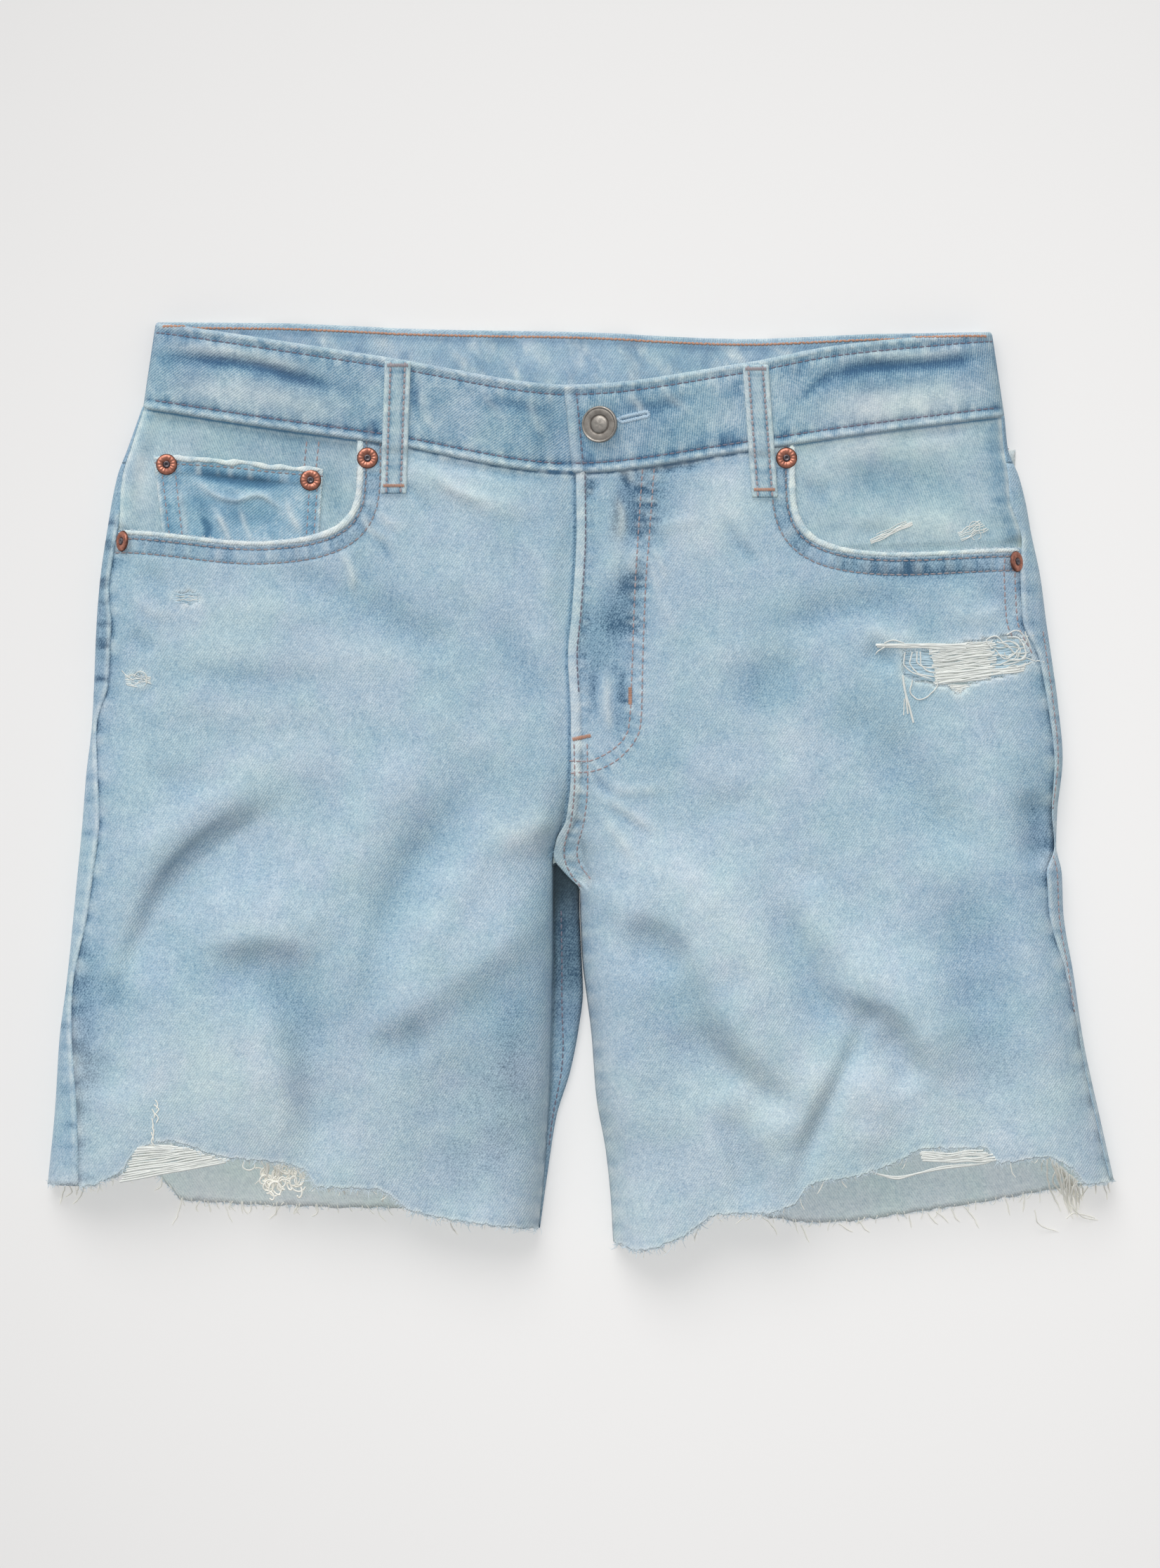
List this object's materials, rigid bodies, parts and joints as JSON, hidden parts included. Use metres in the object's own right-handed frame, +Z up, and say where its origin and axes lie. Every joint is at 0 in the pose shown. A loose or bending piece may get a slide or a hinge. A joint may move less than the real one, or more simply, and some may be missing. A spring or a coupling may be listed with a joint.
{
  "type": "denim shorts",
  "caption": "Cut-off denim shorts lying flat with the fly up: open waist and legs, scooped pockets, coin pocket, belt loops, rivets, shank button and raw hems.",
  "frame": {"origin": "middle of the shorts' outline, at the height of the surface they lie on", "axes": "+X to the viewer's right across the legs, +Y along the legs towards the waistband, +Z up from the surface"},
  "size_m": [0.4926, 0.4264, 0.034],
  "materials": {
    "denim": "light wash denim twill, matt",
    "waist_denim": "light wash denim, a little deeper blue",
    "coin_denim": "light wash denim, creased, deeper blue",
    "copper": "copper, slightly tarnished",
    "nickel": "antique nickel, satin",
    "zip_tape": "woven cotton tape, matt"
  },
  "bodies": {
    "root": {"front_left": "denim", "front_right": "denim", "back_left": "denim", "back_right": "denim", "yoke_left": "denim", "yoke_right": "denim", "pocket_facing_left": "denim", "pocket_facing_right": "denim", "coin_pocket": "coin_denim", "waistband": "waist_denim", "belt_loop_front_left": "waist_denim", "belt_loop_front_right": "waist_denim", "belt_loop_back_left": "waist_denim", "belt_loop_back_mid": "waist_denim", "belt_loop_back_right": "waist_denim", "back_pocket_left": "denim", "back_pocket_right": "denim", "fly_zip": "zip_tape", "button": "nickel", "rivet_left_mouth_top": "copper", "rivet_left_mouth_side": "copper", "rivet_coin_outer": "copper", "rivet_coin_inner": "copper", "rivet_right_mouth_top": "copper", "rivet_right_mouth_side": "copper"}
  },
  "joints": []
}
